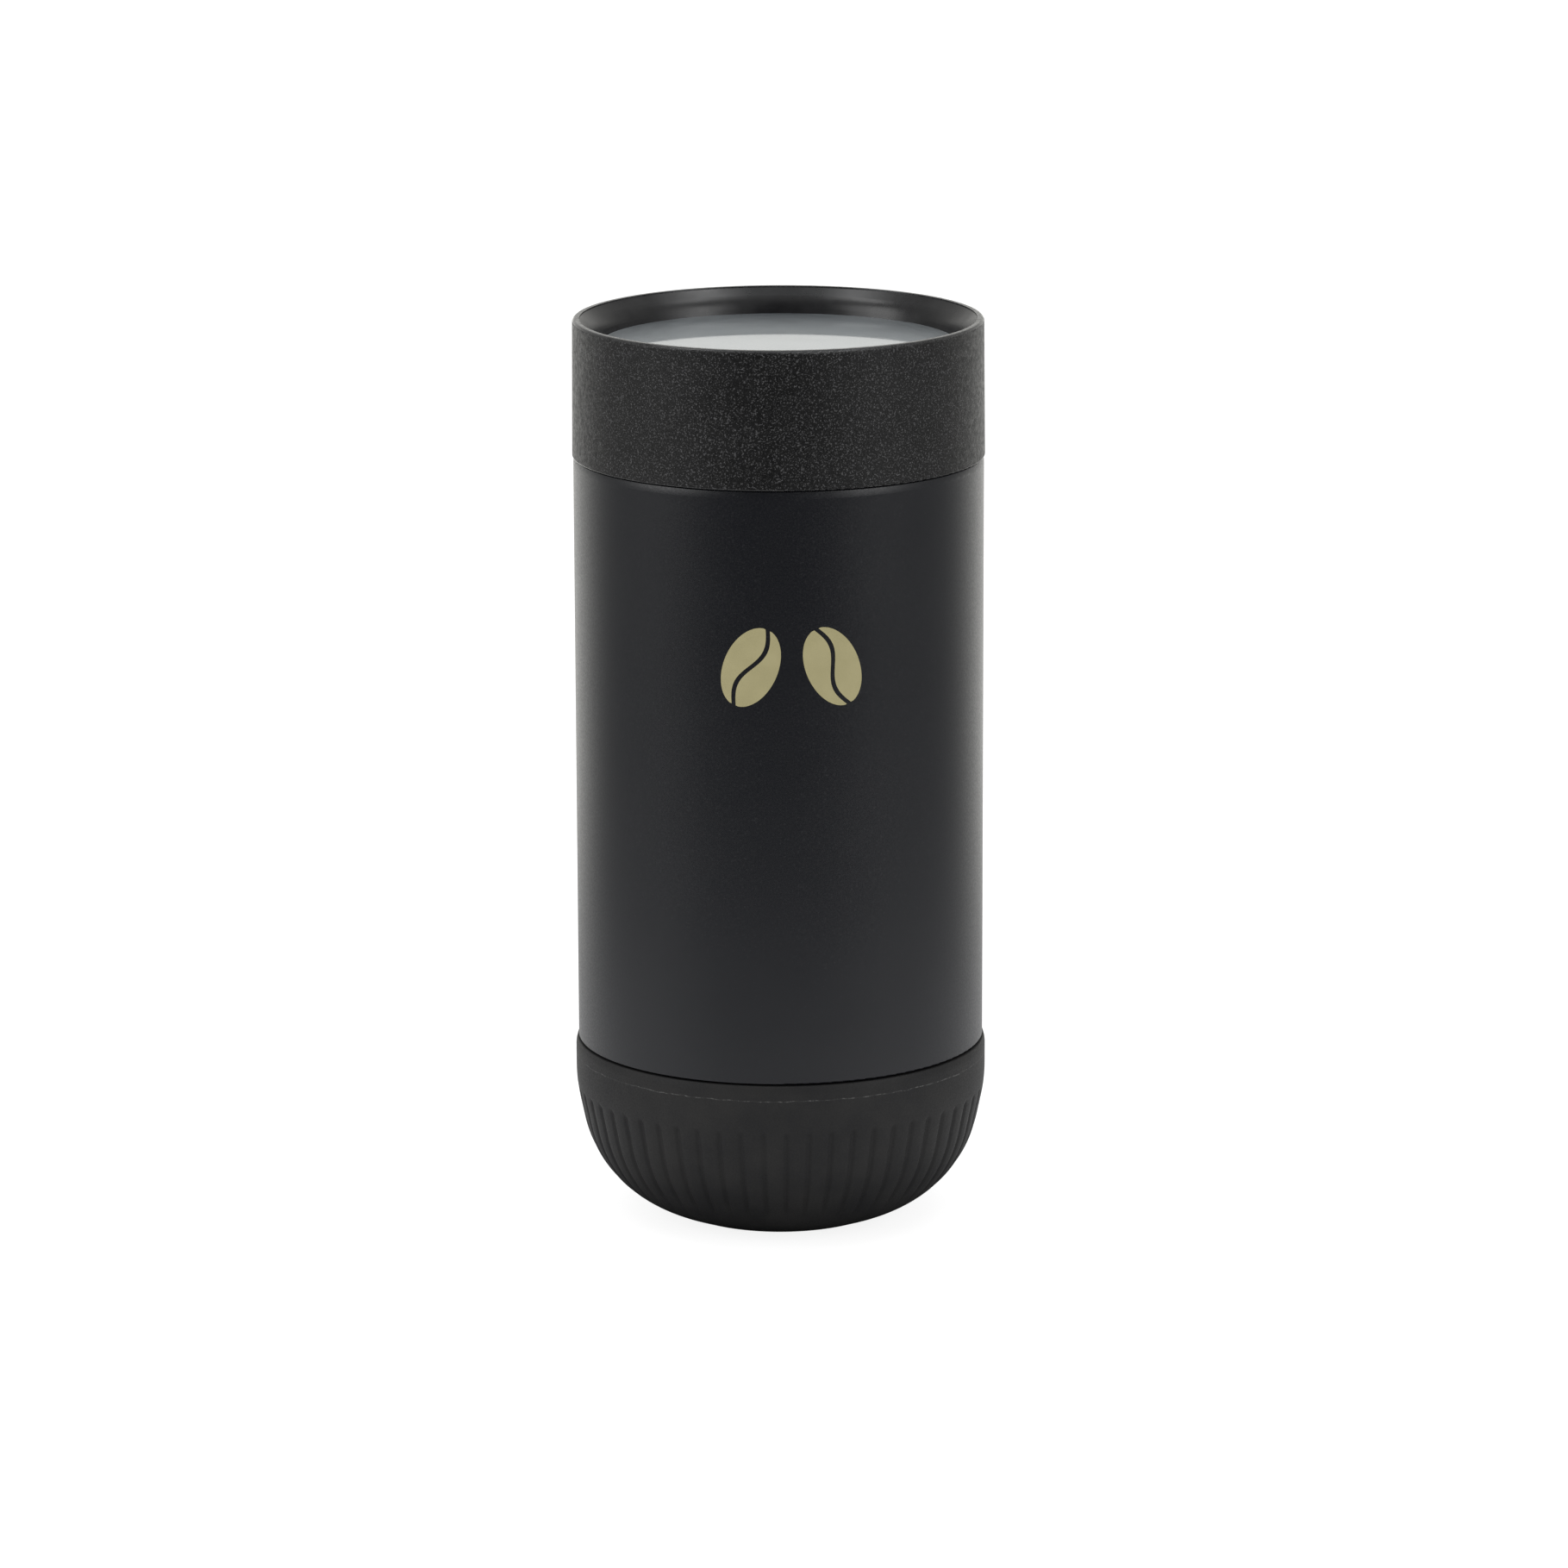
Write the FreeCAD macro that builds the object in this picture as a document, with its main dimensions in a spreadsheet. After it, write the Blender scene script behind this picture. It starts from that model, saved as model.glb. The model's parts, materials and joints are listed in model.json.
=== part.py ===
"""An insulated drinks tumbler: a double-walled steel vessel in a ribbed rubber boot, with a lid that
screws into the mouth and opens all round its edge when the steel button in its top is pressed.

Millimetres and degrees. +Z is up the tumbler's axis and the origin is the middle of its foot.
Nearly every piece is turned about that axis, so most outlines are given as (radius, height)."""
import FreeCAD, Part
import math
import os
import re
import Sketcher

DIMS = {
    # the outside
    "total_height": 167.5,
    "body_radius": 37.5,
    "body_top": 142.2,
    "body_foot_round": 0.25,
    "body_shoulder_drop": 0.75,
    "body_shoulder_lean": 0.24,
    "body_shoulder_round": 3.5,
    "body_mouth_round": 0.15,
    "shell_wall": 0.5,
    "lid_parting": 0.2,
    # the rubber boot and the steel base that it is moulded over
    "boot_radius": 38.0,
    "boot_top": 33.0,
    "boot_lip_height": 31.9,
    "boot_lip_bend": 3.7,
    "boot_lip_lean": 0.3,
    "boot_lip_round": 0.25,
    "boot_parting": 0.3,
    "boot_shoulder_height": 24.6,
    "boot_shoulder_round": 29.5,
    "boot_toe_radius": 34.0,
    "boot_toe_height": 5.6,
    "boot_toe_round": 22.8,
    "foot_radius": 19.2,
    "foot_recess_radius": 16.0,
    "foot_recess_depth": 0.6,
    "spigot_radius": 35.5,
    "spigot_bottom": 28.2,
    "base_shoulder_height": 24.86,
    "base_shoulder_round": 27.0,
    "base_toe_radius": 31.84,
    "base_toe_height": 7.45,
    "base_toe_round": 20.3,
    "base_flat_radius": 20.07,
    "base_floor": 3.0,
    "base_wall": 0.6,
    "dimple_radius": 6.0,
    "dimple_depth": 1.0,
    "vent_radius": 0.9,
    # the grooves between the boot's ribs, each a bent round-bottomed cut
    "rib_count": 57,
    "groove_tool_radius": 0.95,
    "groove_bend_radius": 29.1,
    "groove_bend_centre_radius": 9.06,
    "groove_bend_centre_height": 25.0,
    "groove_low_angle": 48.6,
    "groove_sweep_angle": 46.2,
    # the inner vessel
    "liner_radius": 34.0,
    "liner_wall": 0.5,
    "liner_neck": 0.2,
    "liner_neck_height": 126.0,
    "liner_neck_rise": 1.0,
    "liner_floor": 12.0,
    "liner_floor_round": 20.0,
    "getter_radius": 4.0,
    "getter_height": 1.2,
    # the screw thread between the vessel and the lid
    "thread_lead": 8.0,
    "thread_starts": 2,
    "thread_height": 0.9,
    "thread_crest": 0.5,
    "thread_root": 1.4,
    "thread_sunk": 0.2,
    "vessel_thread_low": 129.0,
    "vessel_thread_rise": 7.0,
    "lid_thread_low": 131.0,
    "lid_thread_rise": 6.0,
    # the seal between them
    "gasket_inner_radius": 34.2,
    "gasket_outer_radius": 36.5,
    "gasket_height": 1.15,
    "gasket_air": 0.06,
    # the lid's cover
    "cover_bottom_radius": 37.67,
    "cover_top_radius": 37.46,
    "cover_bore_radius": 36.2,
    "cover_rim_round": 0.6,
    "cover_foot_round": 0.2,
    "cover_skirt_bore": 36.7,
    # the lid's core: drinking funnel, bore and threaded plug
    "funnel_knee_radius": 33.9,
    "funnel_knee_height": 164.9,
    "funnel_knee_round": 5.0,
    "funnel_top": 167.2,
    "bore_radius": 33.2,
    "bore_top": 162.0,
    "core_wall": 1.5,
    "core_floor": 145.4,
    "core_flange_top": 145.0,
    "core_shoulder_height": 163.6,
    "plug_outer_radius": 32.2,
    "plug_bore_radius": 30.4,
    "plug_bottom": 124.0,
    "seat_radius": 27.6,
    "seat_thickness": 1.6,
    # the carrier: a ring, four arms and a hub across the plug
    "carrier_bottom": 138.6,
    "carrier_height": 4.4,
    "carrier_ring_inner": 28.8,
    "carrier_arm_width": 3.2,
    "carrier_hub_radius": 10.4,
    "carrier_hub_bore": 8.6,
    # the click mechanism's barrel, cap and seal
    "barrel_radius": 8.6,
    "barrel_bore": 5.6,
    "barrel_bottom": 128.4,
    "barrel_top": 145.6,
    "barrel_floor": 1.6,
    "barrel_collar_radius": 10.0,
    "barrel_collar_height": 1.6,
    "track_depth": 1.5,
    "track_width": 2.0,
    "track_count": 4,
    "track_lead": 32.0,
    "track_low": 131.6,
    "track_rise": 15.0,
    "barrel_cap_height": 2.0,
    "stem_seal_length": 2.6,
    "stem_seal_radius": 5.2,
    "stem_seal_air": 0.1,
    # the push rod and what it carries
    "rod_radius": 3.0,
    "rod_bottom": 122.0,
    "rod_top": 159.6,
    "rod_air": 0.15,
    "rod_shoulder_radius": 3.9,
    "rod_shoulder_height": 1.2,
    "rotor_drop": 0.9,
    "rotor_height": 3.9,
    "rotor_air": 0.05,
    "rotor_radius": 5.3,
    "lug_width": 1.5,
    "lug_reach": 1.1,
    "clip_radius": 4.6,
    "clip_height": 0.7,
    "clip_neck_radius": 2.4,
    "clip_mouth": 3.6,
    # the valve under the plug
    "valve_radius": 28.6,
    "valve_top": 123.2,
    "valve_height": 2.0,
    "valve_boss_radius": 6.0,
    "valve_boss_height": 1.8,
    "valve_seal_radius": 29.6,
    "valve_seal_inner_radius": 26.4,
    "valve_seal_skirt": 1.4,
    "valve_seal_air": 0.05,
    "screw_head_radius": 4.2,
    "screw_head_height": 1.8,
    "screw_radius": 1.5,
    "screw_length": 9.0,
    # the button
    "disc_radius": 32.72,
    "disc_top": 162.9,
    "disc_wall": 0.6,
    "disc_edge_height": 2.2,
    "disc_edge_round": 0.35,
    "button_plate": 2.0,
    "button_skirt_radius": 32.4,
    "button_skirt_wall": 1.5,
    "button_skirt_bottom": 155.4,
    "button_boss_radius": 5.6,
    "button_boss_bottom": 153.6,
    "washer_radius": 8.4,
    "washer_height": 0.8,
    # the return spring
    "spring_radius": 6.9,
    "spring_wire_radius": 0.5,
    "spring_turns": 5.0,
}

document = FreeCAD.newDocument("drinks_tumbler")
sheet = document.addObject("Spreadsheet::Sheet", "dims")
for row, (alias, size) in enumerate(DIMS.items(), start=1):
    sheet.set("A%d" % row, alias)
    sheet.set("B%d" % row, str(size))
    sheet.setAlias("B%d" % row, alias)
document.recompute()


def formula(text):
    """The same formula with every dimension's name pointing at the sheet."""
    return re.sub(
        r"[a-z][a-z_]*",
        lambda word: "dims." + word.group() if word.group() in DIMS else word.group(),
        text,
    )


def number(text):
    """What a formula comes to."""
    result = sheet.evalExpression(formula(text))
    return float(getattr(result, "Value", result))


def new_body(name):
    """An empty PartDesign body that will be the piece called name."""
    body = document.addObject("PartDesign::Body", name)
    body.Label = name
    body.Placement = FreeCAD.Placement()
    return body


def origin_part(body, role):
    """One of a body's own origin planes or axes."""
    return [part for part in body.Origin.OriginFeatures if part.Role == role][0]


def new_sketch(body, name, plane, lift=None):
    """A sketch on one of the body's origin planes, raised off it by a formula."""
    sketch = body.newObject("Sketcher::SketchObject", name)
    sketch.AttachmentSupport = [(origin_part(body, plane), "")]
    sketch.MapMode = "FlatFace"
    if lift:
        sketch.setExpression("AttachmentOffset.Base.z", formula(lift))
    return sketch


def pin(sketch, geometry, end, across, up, tag):
    """Holds one point of a sketch at a pair of formulas."""
    for kind, text, letter in (("DistanceX", across, "x"), ("DistanceY", up, "y")):
        row = sketch.addConstraint(Sketcher.Constraint(kind, -1, 1, geometry, end, number(text)))
        sketch.renameConstraint(row, letter + tag)
        sketch.setExpression("Constraints." + letter + tag, formula(text))


def arc_between(before, corner, after, radius):
    """The start, middle and end of the arc of this radius that rounds a corner."""
    back = (before - corner).normalize()
    ahead = (after - corner).normalize()
    reach = radius / math.tan(back.getAngle(ahead) / 2)
    inward = (back + ahead).normalize()
    centre = corner + inward * math.hypot(reach, radius)
    return corner + back * reach, centre - inward * radius, corner + ahead * reach


def outline(sketch, corners):
    """Draws a closed outline. Each corner is (across, up) in formulas, and a third one rounds it."""
    places = [FreeCAD.Vector(number(corner[0]), number(corner[1]), 0) for corner in corners]
    count = len(corners)
    starts, ends, arcs = list(places), list(places), {}
    for i, corner in enumerate(corners):
        if len(corner) == 3:
            around = places[i - 1], places[i], places[(i + 1) % count]
            ends[i], middle, starts[i] = arc_between(*around, number(corner[2]))
            arcs[i] = sketch.addGeometry(Part.Arc(ends[i], middle, starts[i]))
    lines = [
        sketch.addGeometry(Part.LineSegment(starts[i], ends[(i + 1) % count])) for i in range(count)
    ]
    for i, corner in enumerate(corners):
        into, out_of = lines[i - 1], lines[i]
        if i not in arcs:
            sketch.addConstraint(Sketcher.Constraint("Coincident", into, 2, out_of, 1))
            pin(sketch, out_of, 1, corner[0], corner[1], str(i))
            continue
        tip = sketch.addGeometry(Part.Point(places[i]), True)
        pin(sketch, tip, 1, corner[0], corner[1], str(i))
        sketch.addConstraint(Sketcher.Constraint("PointOnObject", tip, 1, into))
        sketch.addConstraint(Sketcher.Constraint("PointOnObject", tip, 1, out_of))
        for line, end in ((into, 2), (out_of, 1)):
            first = sketch.getPoint(arcs[i], 1)
            near = 1 if first.distanceToPoint(sketch.getPoint(line, end)) < 1e-6 else 2
            sketch.addConstraint(Sketcher.Constraint("Tangent", arcs[i], near, line, end))
        row = sketch.addConstraint(Sketcher.Constraint("Radius", arcs[i], number(corner[2])))
        sketch.renameConstraint(row, "round" + str(i))
        sketch.setExpression("Constraints.round" + str(i), formula(corner[2]))
    return sketch


def turned(body, name, corners):
    """Adds a solid turned about the tumbler's axis from an outline of (radius, height) corners."""
    sketch = outline(new_sketch(body, name + "_outline", "XZ_Plane"), corners)
    solid = body.newObject("PartDesign::Revolution", name)
    solid.Profile = (sketch, [""])
    solid.ReferenceAxis = (origin_part(body, "Z_Axis"), [""])
    solid.Angle = 360
    sketch.Visibility = False
    return solid


def repeated(body, feature, count):
    """Copies a feature evenly round the axis, count times in all."""
    document.recompute()
    pattern = body.newObject("PartDesign::PolarPattern", feature.Name + "_ring")
    pattern.Originals = [feature]
    pattern.Axis = (origin_part(body, "Z_Axis"), [""])
    pattern.Angle = 360
    pattern.setExpression("Occurrences", formula(count))
    body.Tip = pattern
    return pattern


def helical(body, name, kind, corners, lead, rise):
    """Adds or takes away a right-handed helical bar with this outline, lead and rise."""
    document.recompute()
    sketch = outline(new_sketch(body, name + "_outline", "XZ_Plane"), corners)
    helix = body.newObject("PartDesign::" + kind, name)
    helix.Profile = (sketch, [""])
    helix.ReferenceAxis = (origin_part(body, "Z_Axis"), [""])
    helix.Mode = 0
    helix.setExpression("Pitch", formula(lead))
    helix.setExpression("Height", formula(rise))
    sketch.Visibility = False
    return helix


def thread(body, wall, direction, low, rise):
    """The screw ridges on a wall of this radius; direction is + for outward and - for inward."""
    foot = "%s %s thread_sunk" % (wall, "-" if direction == "+" else "+")
    crest = "%s %s thread_height" % (wall, direction)
    corners = [
        (foot, low + " - thread_root / 2"),
        (crest, low + " - thread_crest / 2"),
        (crest, low + " + thread_crest / 2"),
        (foot, low + " + thread_root / 2"),
    ]
    ridge = helical(body, "thread_ridge", "AdditiveHelix", corners, "thread_lead", rise)
    repeated(body, ridge, "thread_starts")


def outer_shell():
    """The coated outer wall: leaned in and turned in at the mouth, stepped in for the boot."""
    body = new_body("outer_shell")
    step = "boot_top + boot_parting"
    shoulder = "body_top - body_shoulder_drop"
    turned(body, "wall", [
        ("spigot_radius - shell_wall", "spigot_bottom"),
        ("spigot_radius", "spigot_bottom"),
        ("spigot_radius", step),
        ("body_radius", step, "body_foot_round"),
        ("body_radius", shoulder, "body_shoulder_round"),
        ("body_radius - body_shoulder_lean", "body_top", "body_mouth_round"),
        ("liner_radius", "body_top"),
        ("liner_radius", "body_top - shell_wall"),
        ("body_radius - body_shoulder_lean - shell_wall", "body_top - shell_wall"),
        ("body_radius - shell_wall", shoulder + " - shell_wall", "body_shoulder_round - shell_wall"),
        ("body_radius - shell_wall", step + " + shell_wall"),
        ("spigot_radius - shell_wall", step + " + shell_wall"),
    ])
    return body


def inner_liner():
    """The bare steel vessel that holds the drink, with the female screw thread inside its mouth."""
    body = new_body("inner_liner")
    bore = "liner_radius - liner_wall"
    neck_top = "liner_neck_height + liner_neck_rise"
    turned(body, "cup", [
        ("0", "liner_floor"),
        ("liner_radius - liner_neck", "liner_floor", "liner_floor_round"),
        ("liner_radius - liner_neck", "liner_neck_height"),
        ("liner_radius", neck_top),
        ("liner_radius", "body_top"),
        (bore, "body_top"),
        (bore, neck_top),
        (bore + " - liner_neck", "liner_neck_height"),
        (bore + " - liner_neck", "liner_floor + liner_wall", "liner_floor_round - liner_wall"),
        ("0", "liner_floor + liner_wall"),
    ])
    thread(body, bore, "-", "vessel_thread_low", "vessel_thread_rise")
    return body


def shell_base():
    """The pressed base that closes the double wall, with a dimple round its evacuation hole."""
    body = new_body("shell_base")
    inside = "spigot_radius - base_wall"
    roof = "base_floor + dimple_depth"
    turned(body, "bowl", [
        ("vent_radius", roof),
        ("dimple_radius - dimple_depth", roof),
        ("dimple_radius", "base_floor"),
        ("base_flat_radius", "base_floor"),
        ("base_toe_radius", "base_toe_height", "base_toe_round"),
        ("spigot_radius", "base_shoulder_height", "base_shoulder_round"),
        ("spigot_radius", "spigot_bottom"),
        (inside, "spigot_bottom"),
        (inside, "base_shoulder_height + 0.1 * base_wall", "base_shoulder_round - base_wall"),
        (
            "base_toe_radius - 0.87 * base_wall",
            "base_toe_height + 0.74 * base_wall",
            "base_toe_round - base_wall",
        ),
        ("base_flat_radius - 0.19 * base_wall", "base_floor + base_wall"),
        ("dimple_radius + base_wall / 2", "base_floor + base_wall"),
        ("dimple_radius - dimple_depth + base_wall / 2", roof + " + base_wall"),
        ("vent_radius", roof + " + base_wall"),
    ])
    return body


def vacuum_plug():
    """The bead that seals the evacuation hole."""
    body = new_body("vacuum_plug")
    roof = "base_floor + dimple_depth"
    turned(body, "bead", [
        ("0", "base_floor + dimple_depth / 4"),
        ("2 * vent_radius", "base_floor + dimple_depth / 4"),
        ("3 * vent_radius", roof),
        ("vent_radius", roof),
        ("vent_radius", roof + " + base_wall"),
        ("0", roof + " + base_wall"),
    ])
    return body


def getter_pill():
    """The getter that keeps the vacuum, spot-welded under the liner's floor."""
    body = new_body("getter_pill")
    turned(body, "pill", [
        ("0", "liner_floor - getter_height"),
        ("getter_radius", "liner_floor - getter_height", "getter_height / 3"),
        ("getter_radius", "liner_floor"),
        ("0", "liner_floor"),
    ])
    return body


def silicone_boot():
    """The rubber boot: a smooth band over a bowl whose outside is cut into vertical ribs."""
    body = new_body("silicone_boot")
    turned(body, "bowl", [
        ("0", "foot_recess_depth"),
        ("foot_recess_radius - foot_recess_depth", "foot_recess_depth"),
        ("foot_recess_radius", "0"),
        ("foot_radius", "0"),
        ("boot_toe_radius", "boot_toe_height", "boot_toe_round"),
        ("boot_radius", "boot_shoulder_height", "boot_shoulder_round"),
        ("boot_radius", "boot_lip_height", "boot_lip_bend"),
        ("boot_radius - boot_lip_lean", "boot_top", "boot_lip_round"),
        ("spigot_radius", "boot_top"),
        ("spigot_radius", "base_shoulder_height", "base_shoulder_round"),
        ("base_toe_radius", "base_toe_height", "base_toe_round"),
        ("base_flat_radius", "base_floor"),
        ("0", "base_floor"),
    ])
    document.recompute()
    groove = body.newObject("PartDesign::SubtractiveTorus", "groove")
    groove.AttachmentSupport = [(origin_part(body, "XZ_Plane"), "")]
    groove.MapMode = "FlatFace"
    groove.setExpression("AttachmentOffset.Base.x", formula("groove_bend_centre_radius"))
    groove.setExpression("AttachmentOffset.Base.y", formula("groove_bend_centre_height"))
    groove.AttachmentOffset.Rotation.Axis = FreeCAD.Vector(0, 0, 1)
    groove.setExpression("AttachmentOffset.Rotation.Angle", formula("-groove_low_angle"))
    groove.setExpression("Radius1", formula("groove_bend_radius"))
    groove.setExpression("Radius2", formula("groove_tool_radius"))
    groove.setExpression("Angle3", formula("groove_sweep_angle"))
    repeated(body, groove, "rib_count")
    return body


FLANGE = "(body_top + 2 * gasket_air + gasket_height)"


def lid_gasket():
    """The flat silicone ring between the lid's flange and the vessel's mouth."""
    body = new_body("lid_gasket")
    low = "body_top + gasket_air"
    high = low + " + gasket_height"
    turned(body, "ring", [
        ("gasket_inner_radius", low),
        ("gasket_outer_radius", low, "gasket_height / 4"),
        ("gasket_outer_radius", high, "gasket_height / 4"),
        ("gasket_inner_radius", high),
    ])
    return body


def lid_cover():
    """The grained outer ring of the lid, down past the gasket to the parting line."""
    body = new_body("lid_cover")
    foot = "body_top + lid_parting"
    turned(body, "ring", [
        ("cover_skirt_bore", foot),
        ("cover_bottom_radius", foot, "cover_foot_round"),
        ("cover_top_radius", "total_height", "cover_rim_round"),
        ("cover_bore_radius", "total_height"),
        ("cover_bore_radius", FLANGE),
        ("cover_skirt_bore", FLANGE),
    ])
    return body


def lid_core():
    """The lid's working body: drinking funnel, button bore, flange and threaded plug with its seat."""
    body = new_body("lid_core")
    outside = "bore_radius + core_wall"
    turned(body, "wall", [
        ("seat_radius", "plug_bottom"),
        ("plug_outer_radius", "plug_bottom", "core_wall / 3"),
        ("plug_outer_radius", FLANGE),
        ("cover_bore_radius", FLANGE),
        ("cover_bore_radius", "core_flange_top"),
        (outside, "core_flange_top"),
        (outside, "bore_top"),
        ("cover_bore_radius", "core_shoulder_height"),
        ("cover_bore_radius", "funnel_top"),
        ("funnel_knee_radius", "funnel_knee_height", "funnel_knee_round"),
        ("bore_radius", "bore_top"),
        ("bore_radius", "core_floor"),
        ("plug_bore_radius", "core_floor"),
        ("plug_bore_radius", "plug_bottom + seat_thickness"),
        ("seat_radius", "plug_bottom + seat_thickness"),
    ])
    thread(body, "plug_outer_radius", "+", "lid_thread_low", "lid_thread_rise")
    return body


def mechanism_carrier():
    """A ring pressed into the plug, with four arms that hold a hub on the axis."""
    body = new_body("mechanism_carrier")
    low = "carrier_bottom"
    high = "carrier_bottom + carrier_height"
    turned(body, "ring", [
        ("carrier_ring_inner", low),
        ("plug_bore_radius", low),
        ("plug_bore_radius", high),
        ("carrier_ring_inner", high),
    ])
    document.recompute()
    arm_plan = new_sketch(body, "arm_plan", "XY_Plane", low)
    arm_plan.AttachmentOffset.Rotation = FreeCAD.Rotation(FreeCAD.Vector(0, 0, 1), 45)
    reach = "carrier_ring_inner + thread_sunk"
    outline(arm_plan, [
        ("0", "-carrier_arm_width / 2"),
        (reach, "-carrier_arm_width / 2"),
        (reach, "carrier_arm_width / 2"),
        ("0", "carrier_arm_width / 2"),
    ])
    arm = body.newObject("PartDesign::Pad", "arm")
    arm.Profile = (arm_plan, [""])
    arm.setExpression("Length", formula("carrier_height"))
    repeated(body, arm, "track_count")
    turned(body, "hub", [
        ("0", low),
        ("carrier_hub_radius", low),
        ("carrier_hub_radius", high),
        ("0", high),
    ])
    bored(body, "hub_bore", "carrier_hub_bore", low, "carrier_height")
    return body


def bored(body, name, radius, low, depth):
    """Takes a round hole on the axis out of a body."""
    document.recompute()
    hole = body.newObject("PartDesign::SubtractiveCylinder", name)
    hole.AttachmentSupport = [(origin_part(body, "XY_Plane"), "")]
    hole.MapMode = "FlatFace"
    hole.setExpression("AttachmentOffset.Base.z", formula(low))
    hole.setExpression("Radius", formula(radius))
    hole.setExpression("Height", formula(depth))
    body.Tip = hole
    return hole


HUB_TOP = "(carrier_bottom + carrier_height)"
ROD_HOLE = "(rod_radius + rod_air)"
STEEPNESS = "(track_lead / (2 * pi * barrel_bore))"


def cam_barrel():
    """The click mechanism's barrel, with steep helical tracks in its bore."""
    body = new_body("cam_barrel")
    turned(body, "barrel", [
        (ROD_HOLE, "barrel_bottom"),
        ("barrel_radius", "barrel_bottom"),
        ("barrel_radius", HUB_TOP),
        ("barrel_collar_radius", HUB_TOP),
        ("barrel_collar_radius", HUB_TOP + " + barrel_collar_height"),
        ("barrel_radius", HUB_TOP + " + barrel_collar_height"),
        ("barrel_radius", "barrel_top"),
        ("barrel_bore", "barrel_top"),
        ("barrel_bore", "barrel_bottom + barrel_floor"),
        (ROD_HOLE, "barrel_bottom + barrel_floor"),
    ])
    half = "track_width / 2 * " + STEEPNESS
    inner = "barrel_bore - thread_sunk"
    outer = "barrel_bore + track_depth"
    track = helical(body, "track", "SubtractiveHelix", [
        (inner, "track_low - " + half),
        (outer, "track_low - " + half),
        (outer, "track_low + " + half),
        (inner, "track_low + " + half),
    ], "track_lead", "track_rise")
    repeated(body, track, "track_count")
    return body


LUG_LOW = "(track_low + track_lead / track_count)"
ROTOR_LOW = "(%s - rotor_drop)" % LUG_LOW


def cam_rotor():
    """The rotor that the tracks turn as the push rod carries it down."""
    body = new_body("cam_rotor")
    turned(body, "sleeve", [
        (ROD_HOLE, ROTOR_LOW),
        ("rotor_radius", ROTOR_LOW),
        ("rotor_radius", ROTOR_LOW + " + rotor_height"),
        (ROD_HOLE, ROTOR_LOW + " + rotor_height"),
    ])
    half = "lug_width / 2 * " + STEEPNESS
    inner = "rotor_radius - thread_sunk"
    outer = "rotor_radius + lug_reach"
    lug = helical(body, "lug", "AdditiveHelix", [
        (inner, LUG_LOW + " - " + half),
        (outer, LUG_LOW + " - " + half),
        (outer, LUG_LOW + " + " + half),
        (inner, LUG_LOW + " + " + half),
    ], "track_lead", "rotor_height / 2")
    repeated(body, lug, "track_count")
    return body


def barrel_cap():
    """The cap that closes the barrel and seats the return spring."""
    body = new_body("barrel_cap")
    turned(body, "disc", [
        (ROD_HOLE, "barrel_top"),
        ("barrel_radius", "barrel_top"),
        ("barrel_radius", "barrel_top + barrel_cap_height"),
        (ROD_HOLE, "barrel_top + barrel_cap_height"),
    ])
    return body


def stem_seal():
    """The wiper under the barrel that keeps the drink off the mechanism."""
    body = new_body("stem_seal")
    low = "barrel_bottom - stem_seal_length"
    turned(body, "wiper", [
        ("rod_radius + stem_seal_air", low),
        ("rod_radius + 4 * stem_seal_air", low),
        ("stem_seal_radius", "barrel_bottom - stem_seal_length / 3"),
        ("stem_seal_radius", "barrel_bottom"),
        ("rod_radius + stem_seal_air", "barrel_bottom"),
    ])
    return body


ROD_SHOULDER = "(%s + rotor_height + rotor_air)" % ROTOR_LOW
CLIP_TOP = "(%s - rotor_air)" % ROTOR_LOW


def push_rod():
    """The rod from the button to the valve: a shoulder over the rotor, a neck for the clip below it."""
    body = new_body("push_rod")
    turned(body, "rod", [
        ("screw_radius", "rod_bottom"),
        ("rod_radius", "rod_bottom"),
        ("rod_radius", CLIP_TOP + " - clip_height"),
        ("clip_neck_radius", CLIP_TOP + " - clip_height"),
        ("clip_neck_radius", CLIP_TOP),
        ("rod_radius", CLIP_TOP),
        ("rod_radius", ROD_SHOULDER),
        ("rod_shoulder_radius", ROD_SHOULDER),
        ("rod_shoulder_radius", ROD_SHOULDER + " + rod_shoulder_height"),
        ("rod_radius", ROD_SHOULDER + " + rod_shoulder_height"),
        ("rod_radius", "rod_top"),
        ("0", "rod_top"),
        ("0", "rod_bottom + screw_length"),
        ("screw_radius", "rod_bottom + screw_length"),
    ])
    return body


def rotor_clip():
    """The spring clip in the rod's neck, open on one side, that keeps the rotor on the rod."""
    body = new_body("rotor_clip")
    turned(body, "washer", [
        ("clip_neck_radius", CLIP_TOP + " - clip_height"),
        ("clip_radius", CLIP_TOP + " - clip_height"),
        ("clip_radius", CLIP_TOP),
        ("clip_neck_radius", CLIP_TOP),
    ])
    document.recompute()
    mouth_plan = new_sketch(body, "mouth_plan", "XY_Plane", CLIP_TOP)
    outline(mouth_plan, [
        ("0", "-clip_mouth / 2"),
        ("2 * clip_radius", "-clip_mouth / 2"),
        ("2 * clip_radius", "clip_mouth / 2"),
        ("0", "clip_mouth / 2"),
    ])
    mouth = body.newObject("PartDesign::Pocket", "mouth")
    mouth.Profile = (mouth_plan, [""])
    mouth.setExpression("Length", formula("clip_height"))
    return body


def valve_plate():
    """The plate under the plug that closes it, with a boss that the push rod stands in."""
    body = new_body("valve_plate")
    low = "valve_top - valve_height"
    turned(body, "plate", [
        ("screw_radius", low),
        ("valve_radius", low),
        ("valve_radius", "valve_top"),
        ("valve_boss_radius", "valve_top"),
        ("valve_boss_radius", "valve_top + valve_boss_height"),
        ("rod_radius", "valve_top + valve_boss_height"),
        ("rod_radius", "rod_bottom"),
        ("screw_radius", "rod_bottom"),
    ])
    return body


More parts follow.
